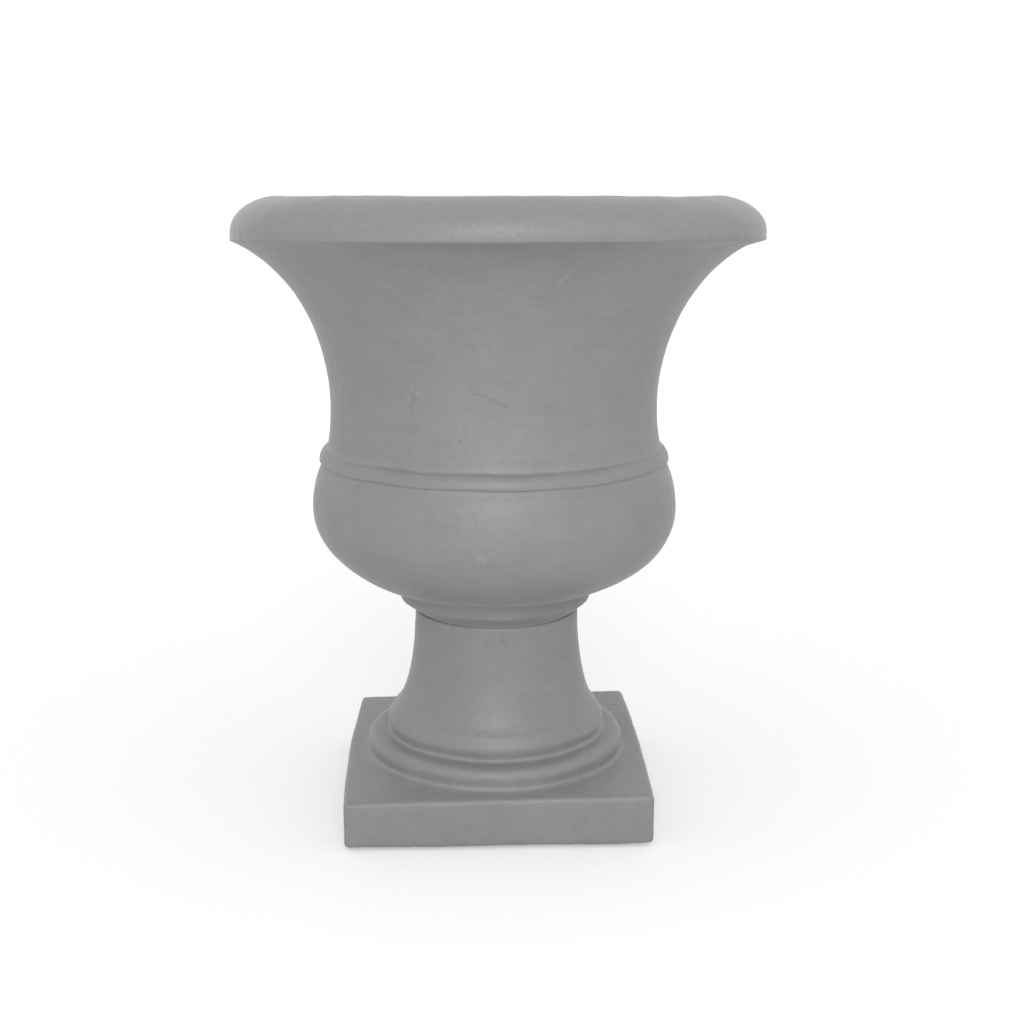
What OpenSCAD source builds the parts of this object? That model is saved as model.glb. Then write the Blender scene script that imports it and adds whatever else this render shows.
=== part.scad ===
// Cast stone urn planter: a flared bowl that lifts off a hollow pedestal on a square plinth.
// The soil space runs from the mouth through the bowl's spigot to the floor of the pedestal.
// Millimetres, +Z up. The origin is on the ground, under the middle of the plinth.

/* [Lip] */
// Radius of the mouth, half of the 13 inch opening
mouth_r = 165; // [155:1:172]
// Outer radius of the lip at its widest
lip_r = 203.5; // [198:0.5:212]
// Height of the lip, from its lower edge to its crest
lip_h = 30.5; // [29:0.5:40]
// Depth of the widest line of the lip below its crest
lip_drop = 27; // [18:0.5:27.5]
// Width of the level crest between the mouth's edge and the outer curve
crest_w = 1; // [0.5:0.5:6]
// Rounding of the mouth's edge
mouth_edge = 5; // [2:0.5:8]
// Rounding of the lip's lower edge
arris_r = 2; // [1:0.5:2.5]
// Height of the lip's sloping underside, from the flare up to its lower edge
soffit_h = 4.5; // [2:0.5:7]

/* [Neck] */
// Outer radius of the neck at its narrowest
neck_r = 127.5; // [122:0.5:132]
// Height of the flare, from the narrowest line up to the lip's underside
flare_h = 125; // [110:1:145]
// Outer radius of the flare where it meets the lip
flare_top_r = 193.5; // [186:0.5:195]
// Height of the narrowest line above the bead
neck_h = 32.5; // [24:0.5:40]

/* [Bead] */
// Height of the bead round the top of the belly
bead_h = 11.5; // [8:0.5:16]
// Outer radius of the bead
bead_r = 138; // [136:0.5:141]
// Radius of the crease between the bead and the belly
crease_r = 134.5; // [133:0.5:135.5]

/* [Belly] */
// Outer radius of the belly
belly_r = 144; // [142:0.5:152]
// Wall of the bowl at the belly and the neck
bowl_wall = 17; // [12:0.5:20]
// Height from the belly's widest line up to the crease
belly_top_h = 37; // [30:1:45]
// Height from the collar up to the belly's widest line
belly_low_h = 64; // [56:1:76]

/* [Collar and spigot] */
// Outer radius of the collar ring under the belly
collar_r = 76; // [72:0.5:84]
// Height of the collar's upright face
collar_h = 11; // [7:0.5:16]
// Height of the collar's sloping underside
collar_cove_h = 7.5; // [4:0.5:10]
// Radius of the bowl's seat on the pedestal
seat_r = 66.5; // [65.5:0.5:68]
// Inner radius of the spigot, the passage for soil and water
spigot_bore_r = 41.5; // [36:0.5:43]
// Wall of the spigot
spigot_wall = 5.5; // [4:0.5:7]
// Length of the spigot below the seat
spigot_l = 28; // [18:1:40]

/* [Stem] */
// Outer radius of the stem at its top
stem_r = 65; // [64.5:0.5:66.5]
// Height of the stem
stem_h = 83; // [70:0.5:100]
// Outer radius of the stem's spread foot
stem_foot_r = 85; // [82:0.5:87]
// Height of the square edge round the stem's foot
foot_edge_h = 2; // [1:0.5:3]

/* [Base mouldings] */
// Outer radius of the upper torus
upper_torus_r = 88.2; // [87:0.2:91]
// Height of the upper torus
upper_torus_h = 14.8; // [12:0.2:16]
// Radius of the groove between the two tori
groove_r = 84; // [83:0.5:87]
// Height of the groove
groove_h = 1.6; // [0.8:0.2:4]
// Outer radius of the lower torus
lower_torus_r = 104.2; // [103:0.2:110]
// Height of the lower torus
lower_torus_h = 15.5; // [13:0.5:20]
// Radius of the thin fillet under the lower torus
fillet_r = 100.5; // [99:0.5:103]
// Height at which the lower torus's round stands above the plinth
fillet_h = 1; // [0.5:0.5:3]

/* [Plinth] */
// Width of the square plinth
plinth_w = 235; // [225:1:260]
// Height of the plinth
plinth_h = 39; // [34:0.5:50]
// Rounding of the plinth's edges
plinth_edge = 3; // [2:0.5:7]
// Thickness of the floor inside the pedestal
floor_t = 26; // [20:0.5:30]
// Radius of the cavity at the floor, half of 7 inches
cavity_r = 89; // [80:0.5:91]

/* [Drain and feet] */
// Radius of the drain hole at the floor
drain_r = 12; // [9:0.5:14]
// Radius of the drain plug's flange
flange_r = 17; // [16:0.5:20]
// Radius of a foot pad
pad_r = 12; // [9:0.5:14]
// Thickness of a foot pad
pad_t = 5; // [4:0.5:7]
// How far a foot pad stands out of the plinth
pad_proud = 2; // [1:0.5:3]

/* [Joint] */
// Thickness of the gasket between bowl and pedestal
gasket_t = 2; // [1:0.5:4]
// Radius of a locating dowel
dowel_r = 3; // [2:0.25:3.5]
// Length of a dowel inside the pedestal
dowel_sunk = 24; // [16:1:30]
// Length of a dowel inside the bowl
dowel_reach = 14; // [10:1:18]

/* [Hidden] */
stone_grey = [0.56, 0.56, 0.57];
rubber_black = [0.12, 0.12, 0.12];
steel = [0.72, 0.72, 0.73];
$fn = 128;

// Clearances between pieces
spigot_gap = 1;
dowel_gap = 0.08;
gasket_gap = 0.5;
pad_gap = 0.2;
plug_gap = 0.1;
cut_over = 1;

// How far each curve has turned from upright where it ends, in degrees
flare_turn = 68;
lip_turn = 78;
bead_turn = 60;
stem_turn = 84;
belly_top_turn = 44;
belly_low_turn = 67;
inner_top_turn = 80;
inner_low_turn = 78;
dome_turn = 90;
bell_turn = 80;

// Points along each long and each short curve
long_steps = 20;
short_steps = 8;

// Heights of the pedestal's parts above the ground, from the plinth up
plinth_z = pad_proud;
plinth_top_z = plinth_z + plinth_h;
floor_z = plinth_z + floor_t;
lower_torus_z = plinth_top_z + fillet_h;
groove_z = lower_torus_z + lower_torus_h;
upper_torus_z = groove_z + groove_h;
foot_z = upper_torus_z + upper_torus_h;
stem_z = foot_z + foot_edge_h;
stem_top_z = stem_z + stem_h;

// Heights of the bowl's parts above the ground, from the seat up
seat_z = stem_top_z + gasket_t;
collar_z = seat_z + collar_cove_h;
collar_top_z = collar_z + collar_h;
belly_z = collar_top_z + belly_low_h;
crease_z = belly_z + belly_top_h;
bead_top_z = crease_z + bead_h;
neck_z = bead_top_z + neck_h;
flare_top_z = neck_z + flare_h;
lip_z = flare_top_z + soffit_h;
crest_z = lip_z + lip_h;
widest_z = crest_z - lip_drop;

// The bead is fullest low down, and the neck springs from its top with the flare's own curve
neck_turn = asin(neck_h * sin(flare_turn) / flare_h);
neck_foot_r = neck_r + (flare_top_r - neck_r) * (1 - cos(neck_turn)) / (1 - cos(flare_turn));
bead_full_z = crease_z + bead_h / 6;
bead_low_z = crease_z + bead_h / 30;
bead_root_r = crease_r + (bead_r - crease_r) / 4;
bead_shoulder_r = neck_foot_r + (bead_r - neck_foot_r) / 10;

// Inside of the bowl
inner_neck_r = neck_r - bowl_wall;
inner_belly_r = belly_r - bowl_wall;
inner_flare_z = lip_z + lip_h * 0.3;
inner_waist_r = neck_foot_r - bowl_wall;
inner_low_z = collar_top_z + bowl_wall * 0.8;
spigot_r = spigot_bore_r + spigot_wall;

// Inside of the pedestal
bore_r = spigot_r + spigot_gap;
cavity_wall_z = (floor_z + plinth_top_z) / 2;
dome_top_z = plinth_top_z + lower_torus_h / 2;
dome_r = stem_r + (stem_foot_r - stem_r) / 8;
bore_z = stem_top_z - spigot_l - spigot_wall;

// Locating dowels stand midway in the ring between the bore and the stem's face
dowel_ring_r = (bore_r + stem_r) / 2;
dowel_z = stem_top_z - dowel_sunk;
dowel_l = dowel_sunk + gasket_t + dowel_reach;
dowel_end_gap = 1;
dowel_chamfer = 0.6;
gasket_in_r = bore_r + gasket_gap;
gasket_out_r = stem_r - gasket_gap * 2;

// Drain hole, with a sunk ring under it so that water runs off freely
drain_taper_share = 0.88;
drain_low_r = drain_r * drain_taper_share;
drain_sink_r = 22;
drain_sink_h = 4;
plug_tip_z = plinth_z + drain_sink_h;
flange_h = 4;
knob_r = 9;
knob_neck_r = 5.5;
knob_neck_h = 5;
knob_h = 8;

// Foot pads in shallow pockets near the plinth's corners
pad_inset = 26;
pad_centre = plinth_w / 2 - pad_inset;
pad_chamfer = 1;
pad_groove_w = 1.5;
pad_groove_d = 1;
pad_groove_shares = [0.4, 0.72];

// A curve that leaves [r0, z0] upright and ends at [r1, z0 + dz] after the given turn
function curve(r0, z0, r1, dz, turn, steps) =
    [for (i = [0:steps]) let (t = turn * i / steps)
        [r0 + (r1 - r0) * (1 - cos(t)) / (1 - cos(turn)), z0 + dz * sin(t) / sin(turn)]];

// The same points in the opposite order
function back(points) = [for (i = [len(points) - 1:-1:0]) points[i]];

// The angle above or below level at which a round moulding of height h meets its neighbour's face
function meet_turn(r_out, h, r_face) = acos(max(0, (r_face - r_out + h / 2) / (h / 2)));

// The outer half of a round moulding that stands on z0, between the faces under and over it
function moulding(r_out, z0, h, r_under, r_over) =
    let (first = -meet_turn(r_out, h, r_under), last = meet_turn(r_out, h, r_over))
    [for (i = [0:long_steps]) let (t = first + (last - first) * i / long_steps)
        [r_out - h / 2 + h / 2 * cos(t), z0 + h / 2 + h / 2 * sin(t)]];

// Outside of the bowl, from the seat up to the crest of the lip
function bowl_outside() = concat(
    [[seat_r, seat_z]],
    [[collar_r, collar_z]],
    back(curve(belly_r, belly_z, collar_r, collar_top_z - belly_z, belly_low_turn, long_steps)),
    curve(belly_r, belly_z, crease_r, belly_top_h, belly_top_turn, short_steps),
    back(curve(bead_r, bead_full_z, bead_root_r, bead_low_z - bead_full_z, bead_turn, short_steps)),
    curve(bead_r, bead_full_z, bead_shoulder_r, bead_top_z - bead_full_z, bead_turn, short_steps),
    back(curve(neck_r, neck_z, neck_foot_r, -neck_h, neck_turn, short_steps)),
    curve(neck_r, neck_z, flare_top_r, flare_h, flare_turn, long_steps),
    back(curve(lip_r, lip_z + arris_r, lip_r - arris_r, -arris_r, 90, short_steps)),
    curve(lip_r, widest_z, mouth_r + mouth_edge + crest_w, lip_drop, lip_turn, long_steps));

// Inside of the bowl, from the mouth's edge down to the end of the spigot
function bowl_inside() = concat(
    back(curve(mouth_r, crest_z - mouth_edge, mouth_r + mouth_edge, mouth_edge, 90, short_steps)),
    back(curve(inner_neck_r, neck_z, mouth_r, inner_flare_z - neck_z, flare_turn, long_steps)),
    curve(inner_neck_r, neck_z, inner_waist_r, -neck_h, neck_turn, short_steps),
    back(curve(inner_belly_r, belly_z, inner_waist_r, bead_top_z - belly_z, inner_top_turn, short_steps)),
    curve(inner_belly_r, belly_z, spigot_bore_r, inner_low_z - belly_z, inner_low_turn, long_steps),
    [[spigot_bore_r, seat_z - spigot_l]],
    [[spigot_r, seat_z - spigot_l]],
    [[spigot_r, seat_z]]);

// Outside of the pedestal above the plinth, from the fillet up to the stem's top
function pedestal_outside() = concat(
    [[fillet_r, plinth_top_z - cut_over]],
    moulding(lower_torus_r, lower_torus_z, lower_torus_h, fillet_r, groove_r),
    [[groove_r, groove_z]],
    moulding(upper_torus_r, upper_torus_z, upper_torus_h, groove_r, stem_foot_r),
    back(curve(stem_r, stem_top_z, stem_foot_r, -stem_h, stem_turn, long_steps)));

// Hollow of the pedestal: a wide floor, a domed shoulder and a narrowing bore
function pedestal_hollow() = concat(
    [[0, floor_z]],
    [[cavity_r, floor_z]],
    curve(cavity_r, cavity_wall_z, dome_r, dome_top_z - cavity_wall_z, dome_turn, short_steps),
    back(curve(bore_r, bore_z, dome_r, dome_top_z - bore_z, bell_turn, long_steps)),
    [[bore_r, stem_top_z + cut_over]],
    [[0, stem_top_z + cut_over]]);

module ring_at(points) {
    rotate_extrude() polygon(points);
}

// A rectangle w by h, from its corner, with all four corners rounded
module rounded_face(w, h, r) {
    translate([r, 0]) square([w - 2 * r, h]);
    translate([0, r]) square([w, h - 2 * r]);
    for (x = [r, w - r], y = [r, h - r]) translate([x, y]) circle(r);
}

// The square plinth with every edge eased: three rounded prisms meet in it
module plinth_block() {
    intersection() {
        translate([-plinth_w / 2, -plinth_w / 2, plinth_z])
            linear_extrude(plinth_h) rounded_face(plinth_w, plinth_w, plinth_edge);
        translate([-plinth_w / 2, plinth_w / 2, plinth_z]) rotate([90, 0, 0])
            linear_extrude(plinth_w) rounded_face(plinth_w, plinth_h, plinth_edge);
        translate([-plinth_w / 2, -plinth_w / 2, plinth_z]) rotate([90, 0, 90])
            linear_extrude(plinth_w) rounded_face(plinth_w, plinth_h, plinth_edge);
    }
}

// A place on the dowel ring, on the left (-1) or the right (1)
module at_dowel(side) {
    translate([side * dowel_ring_r, 0, 0]) children();
}

// The four places of the foot pads
module at_pad(side_x, side_y) {
    translate([side_x * pad_centre, side_y * pad_centre, 0]) children();
}

module bowl() {
    color(stone_grey) difference() {
        ring_at(concat(bowl_outside(), bowl_inside()));
        for (side = [-1, 1]) at_dowel(side)
            translate([0, 0, seat_z - cut_over])
                cylinder(h = cut_over + dowel_reach + dowel_end_gap, r = dowel_r + dowel_gap);
    }
}

module pedestal() {
    color(stone_grey) difference() {
        union() {
            plinth_block();
            ring_at(concat([[0, plinth_top_z - cut_over]], pedestal_outside(), [[0, stem_top_z]]));
        }
        ring_at(pedestal_hollow());
        ring_at([[0, plug_tip_z - cut_over], [drain_low_r, plug_tip_z - cut_over], [drain_low_r, plug_tip_z],
                 [drain_r, floor_z], [drain_r, floor_z + cut_over], [0, floor_z + cut_over]]);
        translate([0, 0, plinth_z - cut_over]) cylinder(h = cut_over + drain_sink_h, r = drain_sink_r);
        for (side = [-1, 1]) at_dowel(side)
            translate([0, 0, dowel_z]) cylinder(h = dowel_sunk + cut_over, r = dowel_r + dowel_gap);
        for (x = [-1, 1], y = [-1, 1]) at_pad(x, y)
            translate([0, 0, plinth_z - cut_over]) cylinder(h = cut_over + pad_t - pad_proud, r = pad_r + pad_gap);
    }
}

module neck_gasket() {
    color(rubber_black) difference() {
        translate([0, 0, stem_top_z]) cylinder(h = gasket_t, r = gasket_out_r);
        translate([0, 0, stem_top_z - cut_over]) cylinder(h = gasket_t + 2 * cut_over, r = gasket_in_r);
        for (side = [-1, 1]) at_dowel(side)
            translate([0, 0, stem_top_z - cut_over])
                cylinder(h = gasket_t + 2 * cut_over, r = dowel_r + dowel_gap);
    }
}

module dowel(side) {
    color(steel) at_dowel(side)
        ring_at([[0, dowel_z], [dowel_r - dowel_chamfer, dowel_z], [dowel_r, dowel_z + dowel_chamfer],
                 [dowel_r, dowel_z + dowel_l - dowel_chamfer], [dowel_r - dowel_chamfer, dowel_z + dowel_l],
                 [0, dowel_z + dowel_l]]);
}

// A tapered bung with a flange that seats on the floor and a knob to pull it by
module drain_plug() {
    neck_base_z = floor_z + flange_h;
    knob_z = neck_base_z + knob_neck_h;
    color(rubber_black) ring_at(concat(
        [[0, plug_tip_z], [drain_low_r - plug_gap, plug_tip_z], [drain_r - plug_gap, floor_z]],
        [[flange_r, floor_z], [flange_r, neck_base_z], [knob_neck_r, neck_base_z], [knob_neck_r, knob_z]],
        curve(knob_r, knob_z + knob_h / 2, knob_r - knob_h / 2, knob_h / 2, 90, short_steps),
        [[0, knob_z + knob_h]]));
}

// A round pad with an eased rim and two grip grooves in its underside
module foot_pad(side_x, side_y) {
    color(rubber_black) at_pad(side_x, side_y) difference() {
        ring_at([[0, 0], [pad_r - pad_chamfer, 0], [pad_r, pad_chamfer], [pad_r, pad_t], [0, pad_t]]);
        for (share = pad_groove_shares)
            ring_at([[pad_r * share, -cut_over], [pad_r * share + pad_groove_w, -cut_over],
                     [pad_r * share + pad_groove_w, pad_groove_d], [pad_r * share, pad_groove_d]]);
    }
}

bowl();
pedestal();
neck_gasket();
dowel(-1);  // dowel_left
dowel(1);  // dowel_right
drain_plug();
foot_pad(-1, -1);  // foot_pad_front_left
foot_pad(1, -1);  // foot_pad_front_right
foot_pad(-1, 1);  // foot_pad_back_left
foot_pad(1, 1);  // foot_pad_back_right
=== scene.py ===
"""An urn planter in grey cast stone: a flared bowl that lifts off a hollow pedestal on a square plinth.

Lengths are in metres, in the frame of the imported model: +Z up, the origin on the ground under the
middle of the plinth, the front towards -Y.
"""

import math
from collections import namedtuple

import bmesh
import bpy
from bpy.props import FloatProperty, FloatVectorProperty, IntProperty, PointerProperty
from mathutils import Matrix, Vector, noise


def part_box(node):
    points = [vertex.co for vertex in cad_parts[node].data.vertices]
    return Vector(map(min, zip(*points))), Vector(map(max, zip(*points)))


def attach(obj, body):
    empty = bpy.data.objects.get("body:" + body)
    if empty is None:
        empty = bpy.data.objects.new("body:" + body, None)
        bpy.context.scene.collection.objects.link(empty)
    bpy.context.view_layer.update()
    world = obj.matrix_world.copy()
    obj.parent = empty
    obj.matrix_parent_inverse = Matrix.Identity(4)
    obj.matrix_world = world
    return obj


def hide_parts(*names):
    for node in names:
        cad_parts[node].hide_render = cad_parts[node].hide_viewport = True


bl_info = {
    "name": "Urn Planter",
    "version": (1, 0, 0),
    "blender": (4, 5, 0),
    "location": "3D View > Sidebar > Urn",
    "description": "Models a cast stone urn planter, its fittings and a plain stage",
    "category": "Add Mesh",
}

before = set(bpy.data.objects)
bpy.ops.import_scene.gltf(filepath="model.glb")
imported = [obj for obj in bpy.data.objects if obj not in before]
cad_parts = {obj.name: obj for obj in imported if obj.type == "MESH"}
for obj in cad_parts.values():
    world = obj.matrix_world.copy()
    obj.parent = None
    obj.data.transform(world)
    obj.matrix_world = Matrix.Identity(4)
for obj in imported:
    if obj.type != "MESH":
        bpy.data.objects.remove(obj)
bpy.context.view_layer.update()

BOWL_LOW, BOWL_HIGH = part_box("bowl")
PEDESTAL_LOW, PEDESTAL_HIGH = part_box("pedestal")
GASKET_LOW, GASKET_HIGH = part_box("neck_gasket")
DOWEL_LOW, DOWEL_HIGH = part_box("dowel_right")
PLUG_LOW, PLUG_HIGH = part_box("drain_plug")
PAD_LOW, PAD_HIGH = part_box("foot_pad_front_right")

FULL_TURN = 2 * math.pi
RIGHT_ANGLE = math.pi / 2
MM_PER_M = 1000


def length(name, description, millimetres):
    """A length that can be changed, kept in metres and given here in millimetres."""
    return FloatProperty(name=name, description=description, default=millimetres / MM_PER_M,
                         unit="LENGTH")


def angle(name, description, degrees):
    """An angle that can be changed, kept in radians and given here in degrees."""
    return FloatProperty(name=name, description=description, default=math.radians(degrees),
                         subtype="ANGLE")


def colour(name, description, red, green, blue):
    """A colour that can be changed, as linear red, green and blue."""
    return FloatVectorProperty(name=name, description=description, default=(red, green, blue),
                               subtype="COLOR", min=0, max=1)


class BowlSizes(bpy.types.PropertyGroup):
    """Sizes of the bowl. Its lip radius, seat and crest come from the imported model."""
    mouth_radius: length("Mouth radius", "Radius of the opening", 165)
    lip_height: length("Lip height", "From the lip's lower edge to its crest", 33.8)
    lip_drop: length("Lip drop", "Depth of the widest line of the lip below its crest", 27)
    crest_width: length("Crest width", "Level band between the mouth's edge and the outer curve", 1)
    mouth_edge: length("Mouth edge", "Rounding of the mouth's edge", 5)
    arris_radius: length("Arris radius", "Rounding of the lip's lower edge", 1.3)
    soffit_height: length("Soffit height", "Height of the lip's sloping underside", 3.8)
    neck_radius: length("Neck radius", "Outer radius of the neck at its narrowest", 128.1)
    flare_height: length("Flare height", "From the narrowest line up to the lip's underside", 122.4)
    flare_top_radius: length("Flare top radius", "Outer radius of the flare where it meets the lip", 192)
    neck_height: length("Neck height", "Height of the narrowest line above the bead", 32.5)
    bead_height: length("Bead height", "Height of the bead round the top of the belly", 11.5)
    bead_radius: length("Bead radius", "Outer radius of the bead", 138)
    crease_radius: length("Crease radius", "Radius of the crease between bead and belly", 135.4)
    belly_radius: length("Belly radius", "Outer radius of the belly", 144.3)
    belly_top_height: length("Belly top height", "From the belly's widest line up to the crease", 37)
    wall: length("Wall", "Thickness of the wall at belly and neck", 17)
    collar_radius: length("Collar radius", "Outer radius of the collar ring under the belly", 76.4)
    collar_height: length("Collar height", "Height of the collar's upright face", 11)
    cove_height: length("Cove height", "Height of the collar's sloping underside", 7.5)
    seat_radius: length("Seat radius", "Outer radius of the face that sits on the pedestal", 66.5)
    spigot_bore: length("Spigot bore", "Inner radius of the spigot", 41.5)
    spigot_wall: length("Spigot wall", "Thickness of the spigot", 5.5)
    flare_turn: angle("Flare turn", "How far the flare has turned from upright at the lip", 66)
    lip_turn: angle("Lip turn", "How far the lip's outer curve turns over", 78)
    bead_turn: angle("Bead turn", "How far the bead's curves turn", 60)
    belly_top_turn: angle("Belly top turn", "How far the belly turns up to the crease", 44)
    belly_low_turn: angle("Belly low turn", "How far the belly turns down to the collar", 74)
    inner_top_turn: angle("Inner top turn", "How far the inside of the belly turns to the neck", 80)
    inner_low_turn: angle("Inner low turn", "How far the inside of the belly turns to the spigot", 78)


class PedestalSizes(bpy.types.PropertyGroup):
    """Sizes of the pedestal. Its plinth width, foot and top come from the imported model."""
    stem_radius: length("Stem radius", "Outer radius of the stem at its top", 65.6)
    stem_height: length("Stem height", "Height of the stem", 83)
    stem_foot_radius: length("Stem foot radius", "Outer radius of the stem's spread foot", 85)
    foot_edge_height: length("Foot edge height", "Height of the square edge round the stem's foot", 2)
    upper_torus_radius: length("Upper torus radius", "Outer radius of the upper torus", 88.2)
    upper_torus_height: length("Upper torus height", "Height of the upper torus", 14.8)
    groove_radius: length("Groove radius", "Radius of the groove between the two tori", 86.6)
    groove_height: length("Groove height", "Height of the groove", 1.6)
    lower_torus_radius: length("Lower torus radius", "Outer radius of the lower torus", 104.2)
    lower_torus_height: length("Lower torus height", "Height of the lower torus", 15.5)
    fillet_radius: length("Fillet radius", "Radius of the thin fillet under the lower torus", 103.2)
    fillet_height: length("Fillet height", "Height of the thin fillet", 1)
    plinth_edge: length("Plinth edge", "Rounding of the plinth's edges", 3)
    floor_thickness: length("Floor thickness", "Thickness of the floor inside", 26)
    cavity_radius: length("Cavity radius", "Radius of the cavity at the floor", 89)
    bore_gap: length("Bore gap", "Gap between the spigot and the pedestal's bore", 1)
    drain_radius: length("Drain radius", "Radius of the drain hole at the floor", 12)
    drain_low_radius: length("Drain low radius", "Radius of the drain hole at its lower end", 10.56)
    drain_sink_radius: length("Drain sink radius", "Radius of the sunk ring under the drain hole", 22)
    stem_turn: angle("Stem turn", "How far the stem's curve turns at its foot", 84)
    bell_turn: angle("Bell turn", "How far the hollow's bell turns under the bore", 80)


class FittingSizes(bpy.types.PropertyGroup):
    """Sizes of the dowels' holes, the drain plug and the foot pads that no box of the model gives."""
    hole_gap: length("Hole gap", "Gap round a dowel in its hole", 0.08)
    hole_over: length("Hole over", "Depth of a dowel's hole past the dowel's end", 1)
    pocket_gap: length("Pocket gap", "Gap round a foot pad in its pocket", 0.2)
    plug_gap: length("Plug gap", "Gap round the drain plug's taper", 0.1)
    flange_height: length("Flange height", "Height of the drain plug's flange", 4)
    knob_radius: length("Knob radius", "Radius of the drain plug's knob", 9)
    knob_height: length("Knob height", "Height of the drain plug's knob", 8)
    knob_neck_radius: length("Knob neck radius", "Radius of the neck under the knob", 5.5)
    rubber_edge: length("Rubber edge", "Rounding of moulded rubber edges", 0.5)
    pad_chamfer: length("Pad chamfer", "Eased rim of a foot pad", 1)
    pad_groove_width: length("Pad groove width", "Width of the grip grooves under a foot pad", 1.5)
    pad_groove_depth: length("Pad groove depth", "Depth of the grip grooves under a foot pad", 1)


class CastSurface(bpy.types.PropertyGroup):
    """How far the hand-made casting strays from its true shape, and how finely it is modelled."""
    columns: IntProperty(name="Columns", description="Steps round each casting", default=320, min=48)
    face_spacing: length("Face spacing", "Longest step along an outer face", 2.5)
    inner_spacing: length("Inner spacing", "Longest step along an inner face", 5.5)
    soft_edge: length("Soft edge", "Reach over which the bowl's corners are softened", 2.1)
    foot_soft_edge: length("Foot soft edge", "Reach over which the pedestal's corners are softened", 3)
    sway: length("Sway", "Height of the slow unevenness", 0.55)
    sway_length: length("Sway length", "Length of the slow unevenness", 70)
    lump: length("Lump", "Height of the lumps left by the mould", 0.17)
    lump_length: length("Lump length", "Length of the lumps left by the mould", 14)
    waver: length("Waver", "How far the moulding lines waver up and down", 0.7)
    waver_length: length("Waver length", "Length of that waver along a line", 34)
    chip: length("Chip", "Depth of chips along the edges", 0.8)
    chip_length: length("Chip length", "Length of chips along the edges", 8)
    collar_shift: length("Collar shift", "How far the collar stands to the right of the seat", -2.2)
    underbelly_shift: length("Underbelly shift", "How far the low belly stands to the right of the seat",
                             -0.2)
    belly_shift: length("Belly shift", "How far the belly stands to the right of the seat", -1.4)
    neck_shift: length("Neck shift", "How far the neck stands to the right of the seat", -1.7)
    flare_shift: length("Flare shift", "How far the flare's top stands to the right of the seat", -1)
    lip_shift: length("Lip shift", "How far the lip stands to the right of the seat", 2.3)
    edge_rise: length("Edge rise", "How much higher the lip's lower edge runs at the front", 5.1)
    crest_rise: length("Crest rise", "How much higher the lip's crest runs at the front", 1.2)
    crest_wear: length("Crest wear", "Depth worn off the lip's crest", 0.6)
    foot_shift: length("Foot shift", "How far the stem's foot stands to the right of its top", -0.9)
    plinth_shift: length("Plinth shift", "How far the plinth stands to the right of the stem's top", -1.1)
    plinth_tilt: length("Plinth tilt", "Rise of the plinth's top from the middle to its right edge", 1.5)
    plinth_back_tilt: length("Plinth back tilt", "Rise of the plinth's top from the middle to its back edge",
                             1.2)
    plinth_left_bow: length("Plinth left bow", "How far the plinth's left face bows out", 3)
    plinth_right_bow: length("Plinth right bow", "How far the plinth's right face bows out", 2.2)


class Finishes(bpy.types.PropertyGroup):
    """Colours of the stone, the rubber, the steel and the stage."""
    stone_dark: colour("Stone dark", "Darker tone of the cast stone", 0.232, 0.233, 0.240)
    stone_light: colour("Stone light", "Lighter tone of the cast stone", 0.302, 0.304, 0.313)
    # Pale crease dust that also stands in for painted light lifting the creases' shade; the same colour
    # lightens edges as wear and painted highlight, and draws the pale scratches.
    stone_dust_and_painted_light: colour("Stone dust", "Pale dust in the creases", 0.36, 0.361, 0.366)
    stone_pit: colour("Stone pit", "Shade of small pits and scratches", 0.15, 0.15, 0.155)
    rubber_black: colour("Rubber black", "Plug and pads", 0.012, 0.012, 0.013)
    # The gasket's grey is kept pale as painted light against the shade in the joint.
    rubber_grey_and_painted_light: colour("Rubber grey", "Gasket", 0.36, 0.36, 0.365)
    rubber_dust: colour("Rubber dust", "Dust on the rubber", 0.12, 0.12, 0.12)
    steel: colour("Steel", "Locating dowels", 0.52, 0.52, 0.53)
    ground: colour("Ground", "Floor of the stage", 0.86, 0.86, 0.86)


class StageSetup(bpy.types.PropertyGroup):
    """The camera, the lamp, the surroundings and the floor."""
    lens: length("Lens", "Focal length of the camera", 51.75)
    camera_distance: length("Camera distance", "Level distance from the urn's axis to the camera", 1152.6)
    camera_height: length("Camera height", "Height of the camera above the ground", 490.4)
    camera_aside: length("Camera aside", "How far the camera stands to its own right", 12.6)
    camera_pitch: angle("Camera pitch", "How far the camera looks down", 12.44)
    camera_heading: angle("Camera heading", "How far the camera goes round the urn", -2.1)
    ambient: FloatProperty(name="Ambient", description="Strength of the white surroundings", default=0.72)
    key_power: FloatProperty(name="Key power", description="Power of the front softbox", default=10.3,
                             unit="POWER")
    key_distance: length("Key distance", "Distance of the front softbox", 1900)
    key_height: angle("Key height", "How high the front softbox stands", 23)
    key_size: length("Key size", "Width of the front softbox", 600)
    ground_size: length("Ground size", "Width of the floor", 12000)


GROUPS = {
    "urn_bowl": BowlSizes,
    "urn_pedestal": PedestalSizes,
    "urn_fittings": FittingSizes,
    "urn_surface": CastSurface,
    "urn_finishes": Finishes,
    "urn_stage": StageSetup,
}


CURVE_STEPS = 40


def curve(r0, z0, r1, dz, turn, steps=CURVE_STEPS):
    """Points of a curve that leaves (r0, z0) upright and ends at (r1, z0 + dz) after the given turn."""
    points = []
    for i in range(steps + 1):
        t = turn * i / steps
        radius = r0 + (r1 - r0) * (1 - math.cos(t)) / (1 - math.cos(turn))
        points.append((radius, z0 + dz * math.sin(t) / math.sin(turn)))
    return points


def back(points):
    """The same points in the opposite order."""
    return points[::-1]


def meet_turn(r_out, height, r_face):
    """The angle above or below level at which a round moulding meets its neighbour's face."""
    return math.acos(max(0, (r_face - r_out + height / 2) / (height / 2)))


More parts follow.
